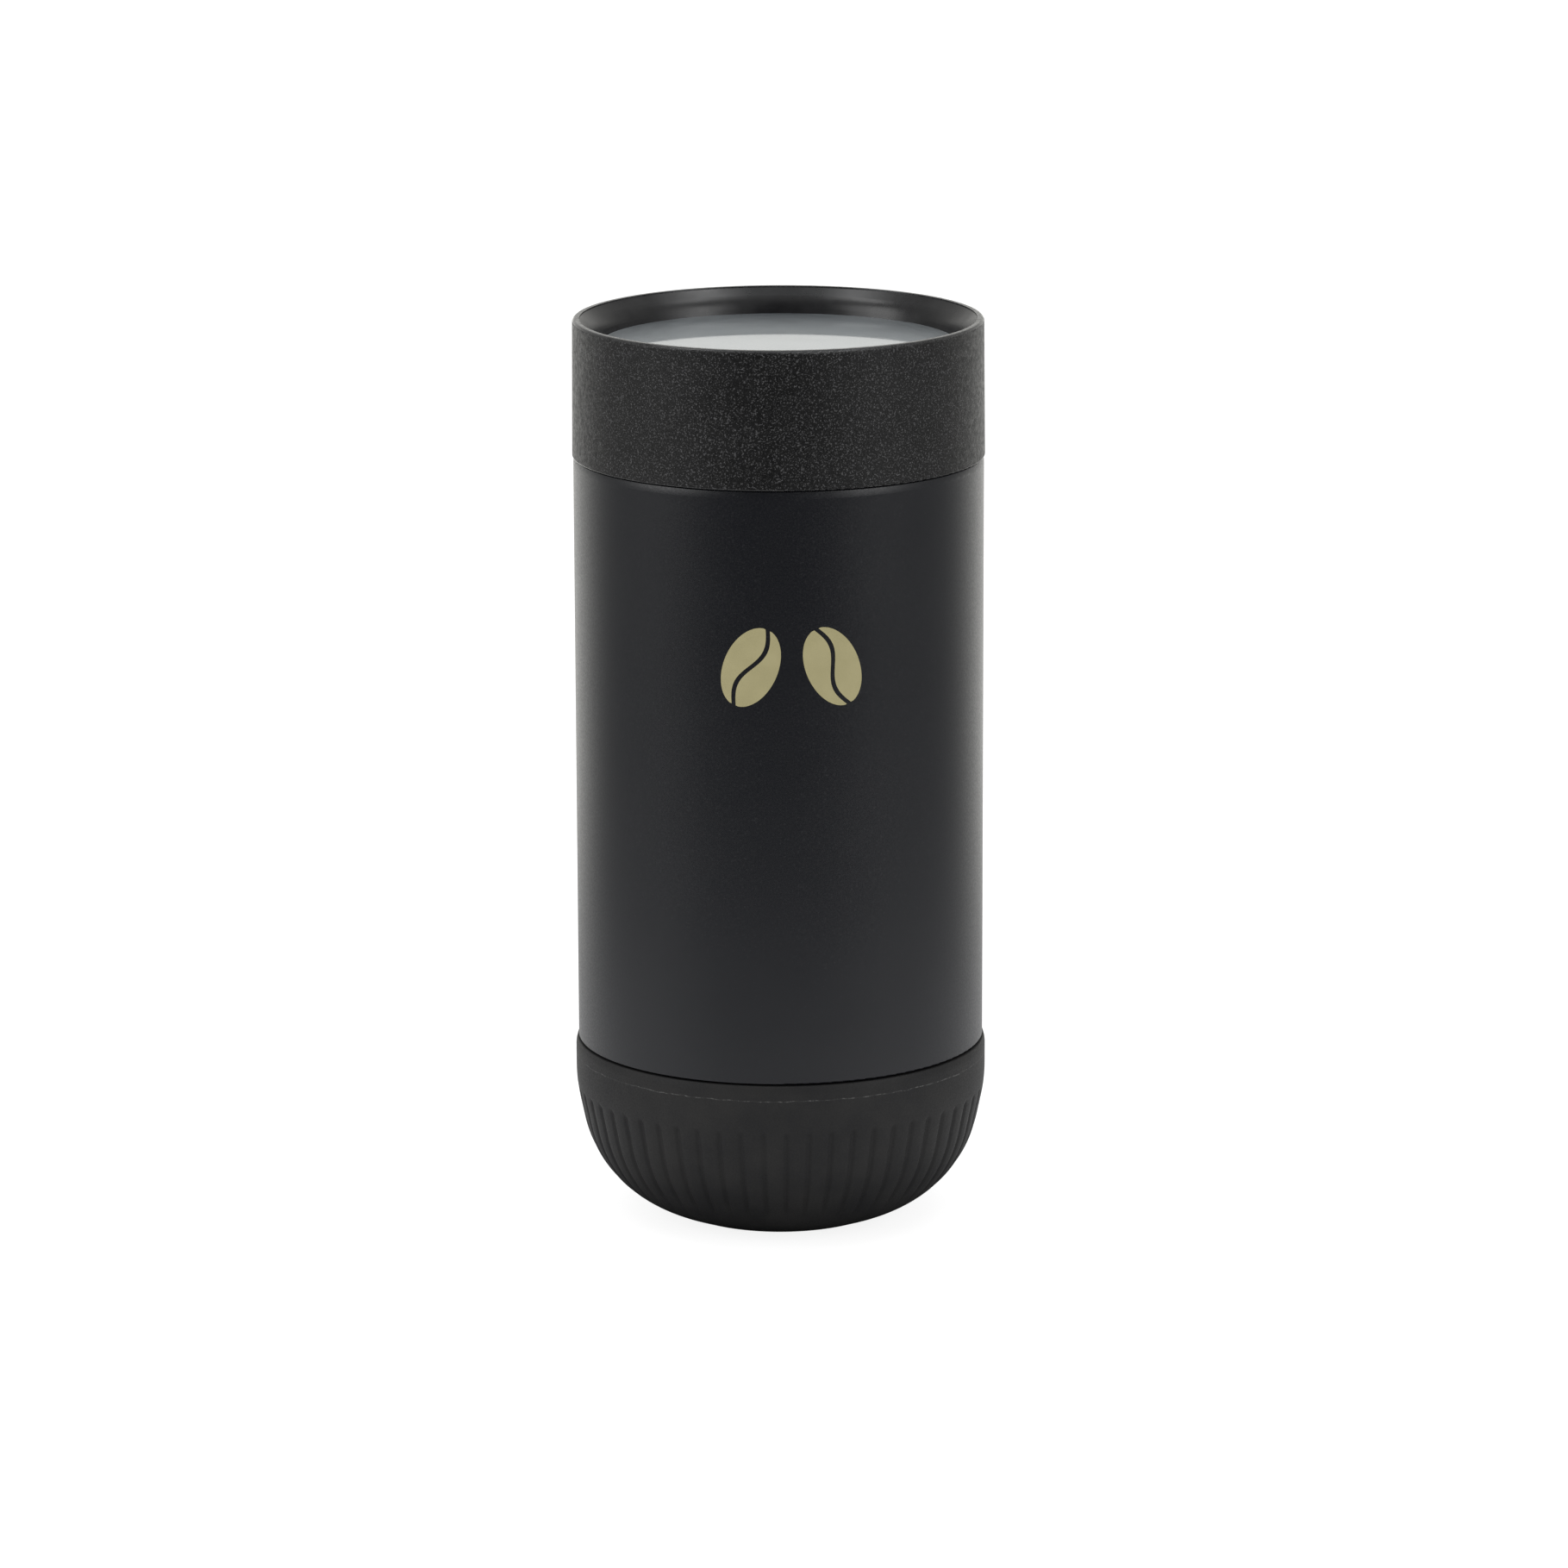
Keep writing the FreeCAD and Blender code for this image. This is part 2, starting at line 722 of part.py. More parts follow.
def valve_seal():
    """The silicone ring over the valve plate's edge, which meets the seat."""
    body = new_body("valve_seal")
    face = "plug_bottom - valve_seal_air"
    turned(body, "ring", [
        ("valve_seal_inner_radius", "valve_top"),
        ("valve_radius", "valve_top"),
        ("valve_radius", "valve_top - valve_seal_skirt"),
        ("valve_seal_radius", "valve_top - valve_seal_skirt"),
        ("valve_seal_radius", face, "valve_seal_skirt / 4"),
        ("valve_seal_inner_radius", face),
    ])
    return body


def valve_screw():
    """The screw that holds the valve plate to the rod, with a hexagon socket in its head."""
    body = new_body("valve_screw")
    under = "valve_top - valve_height"
    turned(body, "screw", [
        ("0", under + " - screw_head_height"),
        ("screw_head_radius", under + " - screw_head_height", "screw_head_height / 3"),
        ("screw_head_radius", under),
        ("screw_radius", under),
        ("screw_radius", "rod_bottom + screw_length"),
        ("0", "rod_bottom + screw_length"),
    ])
    document.recompute()
    socket_plan = new_sketch(body, "socket_plan", "XY_Plane", under + " - screw_head_height")
    outline(socket_plan, [
        ("screw_radius * cos(%d)" % angle, "screw_radius * sin(%d)" % angle) for angle in range(0, 360, 60)
    ])
    socket = body.newObject("PartDesign::Pocket", "socket")
    socket.Profile = (socket_plan, [""])
    socket.Reversed = True
    socket.setExpression("Length", formula("screw_head_height * 2 / 3"))
    return body


UNDER_DISC = "(disc_top - disc_wall)"
UNDER_PLATE = "(disc_top - disc_wall - button_plate)"


def button_disc():
    """The steel disc in the lid's top, with its edge turned down over the button."""
    body = new_body("button_disc")
    turned(body, "pan", [
        ("0", UNDER_DISC),
        ("disc_radius - disc_wall", UNDER_DISC),
        ("disc_radius - disc_wall", "disc_top - disc_edge_height"),
        ("disc_radius", "disc_top - disc_edge_height"),
        ("disc_radius", "disc_top", "disc_edge_round"),
        ("0", "disc_top"),
    ])
    return body


def button_body():
    """The moulding under the steel disc: plate, skirt and a boss for the push rod."""
    body = new_body("button_body")
    skirt_inside = "button_skirt_radius - button_skirt_wall"
    edge = "disc_top - disc_edge_height"
    turned(body, "moulding", [
        ("0", UNDER_DISC),
        ("disc_radius - disc_wall", UNDER_DISC),
        ("disc_radius - disc_wall", edge),
        ("button_skirt_radius", edge),
        ("button_skirt_radius", "button_skirt_bottom"),
        (skirt_inside, "button_skirt_bottom"),
        (skirt_inside, UNDER_PLATE),
        ("button_boss_radius", UNDER_PLATE),
        ("button_boss_radius", "button_boss_bottom"),
        ("rod_radius", "button_boss_bottom"),
        ("rod_radius", "rod_top"),
        ("0", "rod_top"),
    ])
    return body


def spring_washer():
    """The steel washer that the return spring pushes on, round the button's boss."""
    body = new_body("spring_washer")
    turned(body, "washer", [
        ("button_boss_radius", UNDER_PLATE + " - washer_height"),
        ("washer_radius", UNDER_PLATE + " - washer_height"),
        ("washer_radius", UNDER_PLATE),
        ("button_boss_radius", UNDER_PLATE),
    ])
    return body


def return_spring():
    """The coil spring between the barrel cap and the button's washer."""
    low = "barrel_top + barrel_cap_height + spring_wire_radius + rotor_air"
    high = UNDER_PLATE + " - washer_height - spring_wire_radius - rotor_air"
    coil = document.addObject("Part::Helix", "spring_line")
    coil.setExpression("Radius", formula("spring_radius"))
    coil.setExpression("Height", formula("(%s) - (%s)" % (high, low)))
    coil.setExpression("Pitch", formula("((%s) - (%s)) / spring_turns" % (high, low)))
    coil.setExpression("Placement.Base.z", formula(low))
    wire = document.addObject("Part::Circle", "spring_wire")
    wire.Placement = FreeCAD.Placement(FreeCAD.Vector(), FreeCAD.Rotation(FreeCAD.Vector(1, 0, 0), 90))
    wire.setExpression("Radius", formula("spring_wire_radius"))
    wire.setExpression("Placement.Base.x", formula("spring_radius"))
    wire.setExpression("Placement.Base.z", formula(low))
    document.recompute()
    spring = document.addObject("Part::Sweep", "return_spring")
    spring.Sections = [wire]
    spring.Spine = (coil, ["Edge%d" % (i + 1) for i in range(len(coil.Shape.Edges))])
    spring.Solid = True
    spring.Frenet = True
    spring.Label = "return_spring"
    return spring


pieces = [
    outer_shell(),
    inner_liner(),
    shell_base(),
    vacuum_plug(),
    getter_pill(),
    silicone_boot(),
    lid_gasket(),
    lid_cover(),
    lid_core(),
    mechanism_carrier(),
    cam_barrel(),
    barrel_cap(),
    stem_seal(),
    cam_rotor(),
    push_rod(),
    rotor_clip(),
    valve_plate(),
    valve_seal(),
    valve_screw(),
    button_disc(),
    button_body(),
    spring_washer(),
    return_spring(),
]
document.recompute()

for item in document.Objects:
    if "Invalid" in item.State or "Error" in item.State:
        raise RuntimeError("%s did not build: %s" % (item.Name, item.State))
for piece in pieces:
    if piece.Shape.isNull() or not piece.Shape.isValid() or piece.Shape.Volume <= 0:
        raise RuntimeError("%s has no valid solid" % piece.Label)
    solids = len(piece.Shape.Solids)
    if solids != 1:
        raise RuntimeError("%s came out as %d solids" % (piece.Label, solids))

os.makedirs("parts", exist_ok=True)
for piece in pieces:
    piece.Shape.exportStep("parts/%s.step" % piece.Label)
    box = piece.Shape.optimalBoundingBox()
    print("%-18s %9.1f mm3  r %5.2f  z %6.2f to %6.2f" % (
        piece.Label, piece.Shape.Volume, box.XMax, box.ZMin, box.ZMax))
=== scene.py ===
"""A black insulated drinks tumbler on a white studio floor: satin powder-coated body, ribbed rubber boot,
grained plastic lid with a smooth drinking funnel and a satin steel button in it."""
from collections import namedtuple
import json
import math

import bpy
import bmesh
from mathutils import Matrix, Vector


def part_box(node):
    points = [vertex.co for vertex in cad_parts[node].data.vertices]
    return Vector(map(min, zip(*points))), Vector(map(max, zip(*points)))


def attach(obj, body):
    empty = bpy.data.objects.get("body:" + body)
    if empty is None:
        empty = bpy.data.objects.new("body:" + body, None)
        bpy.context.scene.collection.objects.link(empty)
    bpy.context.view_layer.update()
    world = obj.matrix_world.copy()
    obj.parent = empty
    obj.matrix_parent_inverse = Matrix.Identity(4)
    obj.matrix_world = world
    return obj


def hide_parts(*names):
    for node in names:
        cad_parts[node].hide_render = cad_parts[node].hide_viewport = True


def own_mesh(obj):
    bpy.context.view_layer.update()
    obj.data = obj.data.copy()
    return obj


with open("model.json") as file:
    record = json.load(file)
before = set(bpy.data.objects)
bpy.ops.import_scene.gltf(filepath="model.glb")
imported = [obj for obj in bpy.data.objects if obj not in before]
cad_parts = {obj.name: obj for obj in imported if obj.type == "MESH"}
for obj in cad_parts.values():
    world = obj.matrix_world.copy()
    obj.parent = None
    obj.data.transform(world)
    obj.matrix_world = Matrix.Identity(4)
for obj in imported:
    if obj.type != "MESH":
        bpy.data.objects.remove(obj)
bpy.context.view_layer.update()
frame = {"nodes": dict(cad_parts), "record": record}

MM = 0.001


# ---------------------------------------------------------------- shapes

# In degrees, and in metres.
SMOOTH_ANGLE = 40
WELD_DISTANCE = 1e-7


def rounded(corners, steps):
    """The points of an outline whose corners are (across, up) or (across, up, radius)."""
    points = []
    count = len(corners)
    for i, corner in enumerate(corners):
        here = Vector(corner[:2])
        if len(corner) == 2:
            points.append(here)
            continue
        radius = corner[2]
        back = (Vector(corners[i - 1][:2]) - here).normalized()
        ahead = (Vector(corners[(i + 1) % count][:2]) - here).normalized()
        half = back.angle(ahead) / 2
        centre = here + (back + ahead).normalized() * radius / math.sin(half)
        first = here + back * radius / math.tan(half) - centre
        last = here + ahead * radius / math.tan(half) - centre
        turn = math.atan2(first.x * last.y - first.y * last.x, first.dot(last))
        for step in range(steps + 1):
            angle = math.atan2(first.y, first.x) + turn * step / steps
            points.append(centre + radius * Vector((math.cos(angle), math.sin(angle))))
    return points


def new_object(name, data):
    """An object in the scene that shows the given mesh, light or camera."""
    made = bpy.data.objects.new(name, data)
    bpy.context.scene.collection.objects.link(made)
    return made


def new_piece(name, vertices, faces, material):
    """A mesh object from points and faces, smooth but for its sharp edges."""
    mesh = bpy.data.meshes.new(name)
    mesh.from_pydata([tuple(v) for v in vertices], [], faces)
    mesh.validate()
    built = bmesh.new()
    built.from_mesh(mesh)
    bmesh.ops.remove_doubles(built, verts=built.verts, dist=WELD_DISTANCE)
    bmesh.ops.recalc_face_normals(built, faces=built.faces)
    built.to_mesh(mesh)
    built.free()
    for face in mesh.polygons:
        face.use_smooth = True
    mesh.set_sharp_from_angle(angle=math.radians(SMOOTH_ANGLE))
    piece = new_object(name, mesh)
    piece.data.materials.append(material)
    return piece


# ---------------------------------------------------------------- node trees

# The range that nearly all of a noise's values lie in.
NOISE_SPAN = (0.3, 0.7)

# The places of a Mix node's two colours among its inputs, and of the mixed colour among its outputs.
FIRST_COLOR = 6
SECOND_COLOR = 7
MIXED_COLOR = 2


def add(owner, kind, values=None, **properties):
    """A new node in the tree of a material or the world, with its properties and input values set."""
    node = owner.node_tree.nodes.new(kind)
    for key, value in properties.items():
        setattr(node, key, value)
    for key, value in (values or {}).items():
        node.inputs[key].default_value = value
    return node


def link(owner, source, target):
    """Joins an output socket to an input socket."""
    owner.node_tree.links.new(source, target)


def math_node(owner, operation, first, second=None):
    """The result of a Math node. Each input is a socket or a number."""
    node = add(owner, "ShaderNodeMath", operation=operation)
    for socket, value in zip(node.inputs, (first, second)):
        if isinstance(value, (int, float)):
            socket.default_value = value
        elif value is not None:
            link(owner, value, socket)
    return node.outputs[0]


def remap(owner, value, span=NOISE_SPAN, onto=(0, 1), smooth=True):
    """value taken from one range onto another, and held at its ends."""
    ends = {"From Min": span[0], "From Max": span[1], "To Min": onto[0], "To Max": onto[1]}
    node = add(owner, "ShaderNodeMapRange", ends, interpolation_type="SMOOTHSTEP" if smooth else "LINEAR")
    link(owner, value, node.inputs["Value"])
    return node.outputs["Result"]


def mix_shaders(owner, share, first, second):
    """The shader of the first node where share is 0, and of the second where it is 1."""
    node = add(owner, "ShaderNodeMixShader")
    link(owner, share, node.inputs["Fac"])
    link(owner, first.outputs[0], node.inputs[1])
    link(owner, second.outputs[0], node.inputs[2])
    return node.outputs[0]


def coordinates(owner, kind):
    """The x, y and z of one of the texture coordinates, each on its own."""
    where = add(owner, "ShaderNodeTexCoord")
    split = add(owner, "ShaderNodeSeparateXYZ")
    link(owner, where.outputs[kind], split.inputs[0])
    return split.outputs["X"], split.outputs["Y"], split.outputs["Z"]


# ---------------------------------------------------------------- patterns and materials

# Heights in millimetres.
COVER_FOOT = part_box("lid_cover")[0].z / MM
COVER_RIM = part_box("lid_cover")[1].z / MM
FLASH_HEIGHT = 30.25

# A bump: its pattern, how high the pattern stands in millimetres, and how strongly it shows.
Layer = namedtuple("Layer", "pattern depth strength")


def new_material(name, color, roughness, metallic=0.0, specular=0.5):
    """A principled material and its shader."""
    made = bpy.data.materials.new(name)
    made.use_nodes = True
    shader = made.node_tree.nodes["Principled BSDF"]
    shader.inputs["Base Color"].default_value = (*color, 1)
    shader.inputs["Roughness"].default_value = roughness
    shader.inputs["Metallic"].default_value = metallic
    shader.inputs["Specular IOR Level"].default_value = specular
    return made, shader


def finished(made, shader, color, roughness, *layers):
    """The material, once its colour, roughness and stacked bump layers are joined to its shader."""
    link(made, color, shader.inputs["Base Color"])
    link(made, roughness, shader.inputs["Roughness"])
    normal = None
    for layer in layers:
        node = add(made, "ShaderNodeBump", {"Distance": layer.depth * MM, "Strength": layer.strength})
        link(made, layer.pattern, node.inputs["Height"])
        if normal:
            link(made, normal, node.inputs["Normal"])
        normal = node.outputs["Normal"]
    link(made, normal, shader.inputs["Normal"])
    return made


def place(made, stretch=(1, 1, 1)):
    """The point on the object in millimetres. A stretch below 1 draws a pattern out along that axis."""
    where = add(made, "ShaderNodeTexCoord")
    scaled = add(made, "ShaderNodeMapping", {"Scale": tuple(s / MM for s in stretch)})
    link(made, where.outputs["Object"], scaled.inputs["Vector"])
    return scaled.outputs["Vector"]


def place_round_axis(made, around):
    """(angle times around, radius, height) about the tumbler's axis, for patterns that run round it."""
    x, y, z = coordinates(made, "Object")
    angle = math_node(made, "ARCTAN2", y, x)
    square_x = math_node(made, "MULTIPLY", x, x)
    square_y = math_node(made, "MULTIPLY", y, y)
    radius = math_node(made, "SQRT", math_node(made, "ADD", square_x, square_y))
    joined = add(made, "ShaderNodeCombineXYZ")
    link(made, math_node(made, "MULTIPLY", angle, around), joined.inputs["X"])
    link(made, math_node(made, "MULTIPLY", radius, 1 / MM), joined.inputs["Y"])
    link(made, math_node(made, "MULTIPLY", z, 1 / MM), joined.inputs["Z"])
    return joined.outputs[0]


def height_of(made):
    """The height above the tumbler's foot, with every joint at rest, in millimetres."""
    return math_node(made, "MULTIPLY", coordinates(made, "Object")[2], 1 / MM)


def noise(made, vector, size, detail=2.0, roughness=0.5):
    """Noise whose blobs are about size millimetres across."""
    node = add(made, "ShaderNodeTexNoise", {"Scale": 1 / size, "Detail": detail, "Roughness": roughness})
    link(made, vector, node.inputs["Vector"])
    return node.outputs["Fac"]


def blend_color(made, share, first, second):
    """The first colour where share is 0, and the second where it is 1. A colour is a tuple or a socket."""
    node = add(made, "ShaderNodeMix", data_type="RGBA")
    link(made, share, node.inputs["Factor"])
    for socket, color in ((node.inputs[FIRST_COLOR], first), (node.inputs[SECOND_COLOR], second)):
        if isinstance(color, tuple):
            socket.default_value = (*color, 1)
        else:
            link(made, color, socket)
    return node.outputs[MIXED_COLOR]


def powder_coat():
    """Satin black powder coat: a soft orange-peel under a very fine grain."""
    made, shader = new_material("powder_coat", (0.0030, 0.0036, 0.0061), roughness=0.40)
    spot = place(made)
    grain = noise(made, spot, size=0.35)
    peel = noise(made, spot, size=2.2, detail=1)
    cloud = noise(made, spot, size=14, detail=3)
    tone = blend_color(made, remap(made, cloud), (0.0026, 0.0032, 0.0057), (0.0034, 0.0040, 0.0065))
    specks = remap(made, grain, span=(0.62, 0.75), onto=(0, 0.5))
    color = blend_color(made, specks, tone, (0.014, 0.015, 0.018))
    roughness = remap(made, grain, onto=(0.36, 0.46))
    orange_peel = Layer(peel, depth=0.012, strength=0.35)
    fine_grain = Layer(grain, depth=0.006, strength=0.6)
    return finished(made, shader, color, roughness, orange_peel, fine_grain)


def grained_plastic():
    """Black plastic with a spark-eroded grain whose raised facets are painted pale as glints of light, and
    burnished edges that are smoother and painted lighter as a highlight.
    """
    made, shader = new_material("grained_plastic", (0.010, 0.010, 0.011), roughness=0.5, specular=0.4)
    spot = place(made)
    grain = noise(made, spot, size=0.30, roughness=0.6)
    coarse = noise(made, spot, size=0.9)
    cloud = noise(made, spot, size=7)
    pits = blend_color(made, remap(made, cloud), (0.0012, 0.0012, 0.0015), (0.0024, 0.0024, 0.0028))
    # The raised grain is painted pale: painted glints of light on the facets, over the dark base tone.
    grain_painted_glints = blend_color(made, remap(made, grain, span=(0.52, 0.70)), pits, (0.053, 0.053, 0.055))
    height = height_of(made)
    at_foot = remap(made, height, span=(COVER_FOOT + 0.10, COVER_FOOT + 0.28), onto=(1, 0))
    at_rim = remap(made, height, span=(COVER_RIM - 0.5, COVER_RIM - 0.25))
    burnished_edge_and_highlight = math_node(made, "ADD", at_foot, at_rim)
    patchy = remap(made, coarse, span=(0.35, 0.65), onto=(0.35, 1))
    # At the cover's foot and rim the plastic is smoother and less grained, and also painted lighter as a
    # painted highlight.
    color = blend_color(made, math_node(made, "MULTIPLY", burnished_edge_and_highlight, patchy), grain_painted_glints, (0.021, 0.021, 0.022))
    matt = remap(made, coarse, onto=(0.46, 0.60))
    roughness = math_node(made, "SUBTRACT", matt, math_node(made, "MULTIPLY", burnished_edge_and_highlight, 0.3))
    grain_left = math_node(made, "MULTIPLY", grain, math_node(made, "SUBTRACT", 1, burnished_edge_and_highlight))
    waves = Layer(coarse, depth=0.03, strength=0.3)
    grit = Layer(grain_left, depth=0.06, strength=0.9)
    return finished(made, shader, color, roughness, waves, grit)


def smooth_plastic():
    """The lid's inner black plastic, polished to a satin by use."""
    made, shader = new_material("smooth_plastic", (0.008, 0.008, 0.009), roughness=0.30)
    spot = place(made)
    haze = noise(made, spot, size=6, detail=4, roughness=0.6)
    fine = noise(made, spot, size=0.5)
    hazy = remap(made, haze, span=(0.35, 0.65))
    color = blend_color(made, hazy, (0.006, 0.006, 0.007), (0.010, 0.010, 0.011))
    roughness = remap(made, haze, onto=(0.26, 0.35))
    return finished(made, shader, color, roughness, Layer(fine, depth=0.006, strength=0.4))


def boot_rubber():
    """Matt black silicone: a dusty bloom, with a pale broken line where the mould halves met."""
    made, shader = new_material("boot_rubber", (0.010, 0.010, 0.011), roughness=0.6, specular=0.3)
    spot = place(made)
    fine = noise(made, spot, size=0.3, detail=3)
    bloom = noise(made, spot, size=9, detail=4, roughness=0.6)
    tone = blend_color(made, remap(made, bloom), (0.0070, 0.0070, 0.0078), (0.0110, 0.0107, 0.0107))
    upright = place(made, stretch=(1, 1, 0.01))
    wander = remap(made, noise(made, upright, size=3, detail=3), onto=(-0.12, 0.12), smooth=False)
    line_height = math_node(made, "ADD", wander, FLASH_HEIGHT)
    off_line = math_node(made, "ABSOLUTE", math_node(made, "SUBTRACT", height_of(made), line_height))
    breaks = noise(made, upright, size=1.1, detail=4, roughness=0.75)
    dashes = remap(made, breaks, span=(0.44, 0.66), onto=(0.1, 1))
    near_line = remap(made, off_line, span=(0.02, 0.13), onto=(1, 0))
    on_line = math_node(made, "MULTIPLY", near_line, dashes)
    color = blend_color(made, on_line, tone, (0.075, 0.075, 0.073))
    roughness = remap(made, fine, onto=(0.56, 0.68))
    return finished(made, shader, color, roughness, Layer(fine, depth=0.012, strength=0.5))


def satin_steel():
    """Lacquered stainless steel: a fine circular satin under a clear coat that mirrors the wall round it."""
    made, shader = new_material("satin_steel", (0.62, 0.62, 0.61), roughness=0.3, metallic=1.0)
    shader.inputs["Coat Weight"].default_value = 1.0
    shader.inputs["Coat Roughness"].default_value = 0.04
    shader.inputs["Coat IOR"].default_value = 1.5
    lines = noise(made, place_round_axis(made, around=1.5), size=0.3)
    cloud = noise(made, place(made), size=9, detail=3)
    color = blend_color(made, remap(made, cloud), (0.545, 0.595, 0.635), (0.595, 0.645, 0.685))
    roughness = remap(made, lines, onto=(0.32, 0.40))
    return finished(made, shader, color, roughness, Layer(lines, depth=0.0006, strength=0.3))


def turned_metal(name, color, roughness, line_size=0.3):
    """Metal with fine lines round the axis, for the liner and the small turned parts."""
    made, shader = new_material(name, color, roughness, metallic=1.0)
    lines = noise(made, place_round_axis(made, around=2.0), line_size, detail=3, roughness=0.6)
    paler = tuple(min(1.0, 1.12 * part) for part in color)
    lined = blend_color(made, remap(made, lines), color, paler)
    satin = remap(made, lines, onto=(roughness - 0.05, roughness + 0.08))
    return finished(made, shader, lined, satin, Layer(lines, depth=0.004, strength=0.5))


def moulded(name, color, roughness):
    """Plain moulded plastic or rubber with a faint texture."""
    made, shader = new_material(name, color, roughness)
    spot = place(made)
    fine = noise(made, spot, size=0.5, detail=3)
    cloud = noise(made, spot, size=8)
    paler = tuple(1.18 * part for part in color)
    clouded = blend_color(made, remap(made, cloud), color, paler)
    satin = remap(made, fine, onto=(roughness - 0.05, roughness + 0.05))
    return finished(made, shader, clouded, satin, Layer(fine, depth=0.008, strength=0.5))


def print_ink():
    """Flat khaki-gold screen print, with the faint unevenness of ink on a grained coat."""
    made, shader = new_material("print_ink", (0.262, 0.235, 0.122), roughness=0.6, specular=0.3)
    spot = place(made)
    fine = noise(made, spot, size=0.3)
    cloud = noise(made, spot, size=4)
    color = blend_color(made, remap(made, cloud), (0.252, 0.226, 0.116), (0.272, 0.244, 0.128))
    roughness = remap(made, fine, onto=(0.55, 0.68))
    return finished(made, shader, color, roughness, Layer(fine, depth=0.005, strength=0.5))


FINISHES = {
    "powder_coat": powder_coat(),
    "grained_plastic": grained_plastic(),
    "smooth_plastic": smooth_plastic(),
    "boot_rubber": boot_rubber(),
    "satin_steel": satin_steel(),
    "bare_steel": turned_metal("bare_steel", (0.56, 0.56, 0.55), 0.26),
    "rod_steel": turned_metal("rod_steel", (0.50, 0.50, 0.50), 0.24),
    "spring_steel": turned_metal("spring_steel", (0.58, 0.58, 0.58), 0.16),
    "solder": turned_metal("solder", (0.42, 0.42, 0.43), 0.45, line_size=0.8),
    "getter": turned_metal("getter", (0.30, 0.30, 0.31), 0.6, line_size=0.5),
    "seal_rubber": moulded("seal_rubber", (0.060, 0.060, 0.063), 0.55),
    "inner_plastic": moulded("inner_plastic", (0.022, 0.022, 0.024), 0.45),
    "cam_plastic": moulded("cam_plastic", (0.52, 0.51, 0.47), 0.4),
}
INK = print_ink()


# ---------------------------------------------------------------- the rubber boot

# In millimetres.
BOOT_RADIUS = 38.0
BOOT_TOP = 33.0
BOOT_SHOULDER = 24.6
SPIGOT_RADIUS = 35.5
CUP_FLOOR = 3.0
FOOT_RECESS = 0.6
ARC_STEPS = 24

# Outlines of corners that are (across, up) or (across, up, corner radius).
BOOT_OUTSIDE = [
    (16.0, 0.0),
    (19.2, 0.0, 0.5),
    (34.0, 5.6, 22.8),
    (BOOT_RADIUS, BOOT_SHOULDER, 29.5),
    (BOOT_RADIUS, 31.9, 3.7),
    (37.7, BOOT_TOP, 0.25),
    (SPIGOT_RADIUS, BOOT_TOP),
]
BOOT_INSIDE = [
    (SPIGOT_RADIUS, 24.86, 27.0),
    (31.84, 7.45, 20.3),
    (20.07, CUP_FLOOR),
    (0.0, CUP_FLOOR),
    (0.0, FOOT_RECESS),
    (15.4, FOOT_RECESS),
]

RIB_COUNT = 57
RIB_TOP = BOOT_SHOULDER
RIB_TOP_SOFTNESS = 1.7
RIB_FADE_START = 9.5
RIB_FADE_END = 3.6
RIB_DEPTH = 0.36
RIB_CROWN = 0.1
GROOVE_HALF_SHARE = 0.2
# Where the columns of points lie across a rib, as shares of its width from the middle of a groove.
RIB_PHASES = (-0.5, -0.38, -0.27, -0.2, -0.15, -0.1, -0.05, 0, 0.05, 0.1, 0.15, 0.2, 0.27, 0.38)

FLASH_PROUD = 0.035
FLASH_HALF_WIDTH = 0.12

ROW_SPACING = 0.6
ROW_SPACING_RIB_TOPS = 0.12
ROW_SPACING_FLASH = 0.06
FLASH_ROWS_REACH = 0.3


def smooth_step(value, low, high):
    """0 below low, 1 above high and a smooth rise between."""
    share = min(1.0, max(0.0, (value - low) / (high - low)))
    return share * share * (3 - 2 * share)


def resampled(points, spacing_at):
    """The same open line with its points spaced by spacing_at(height)."""
    line = [points[0]]
    for first, second in zip(points, points[1:]):
        pieces = max(1, round((second - first).length / spacing_at((first.y + second.y) / 2)))
        line += [first.lerp(second, (i + 1) / pieces) for i in range(pieces)]
    return line


def boot_row_spacing(height):
    """Finer rows where the ribs end and at the moulding flash."""
    if RIB_TOP - RIB_TOP_SOFTNESS < height < RIB_TOP:
        return ROW_SPACING_RIB_TOPS
    if abs(height - FLASH_HEIGHT) < FLASH_ROWS_REACH:
        return ROW_SPACING_FLASH
    return ROW_SPACING


def rib_depth(phase, height):
    """How far the surface lies under the smooth bowl; phase runs from -0.5 to 0.5 with the groove at 0."""
    away = abs(phase)
    groove = RIB_DEPTH * (1 - smooth_step(away, 0.0, GROOVE_HALF_SHARE))
    crown = RIB_CROWN * (1 - smooth_step(away, GROOVE_HALF_SHARE / 2, 0.5))
    top = 1 - smooth_step(height, RIB_TOP - RIB_TOP_SOFTNESS, RIB_TOP)
    low = smooth_step(height, RIB_FADE_END, RIB_FADE_START)
    return (groove + crown) * top * low


def round_axis(radius, angle, height):
    """The point in metres at a radius and height in millimetres and an angle about the tumbler's axis."""
    return (radius * math.cos(angle) * MM, radius * math.sin(angle) * MM, height * MM)


def boot_column(outside, inside, rib, phase):
    """The boot's outline at one angle, its outer points sunk by the depth of the ribs there."""
    angle = 2 * math.pi * (rib + phase) / RIB_COUNT
    column = []
    for i, point in enumerate(outside):
        before = outside[max(0, i - 1)]
        after = outside[min(len(outside) - 1, i + 1)]
        along = (after - before).normalized()
        depth = rib_depth(phase, point.y)
        column.append(round_axis(point.x - along.y * depth, angle, point.y + along.x * depth))
    column += [round_axis(point.x, angle, point.y) for point in inside]
    return column


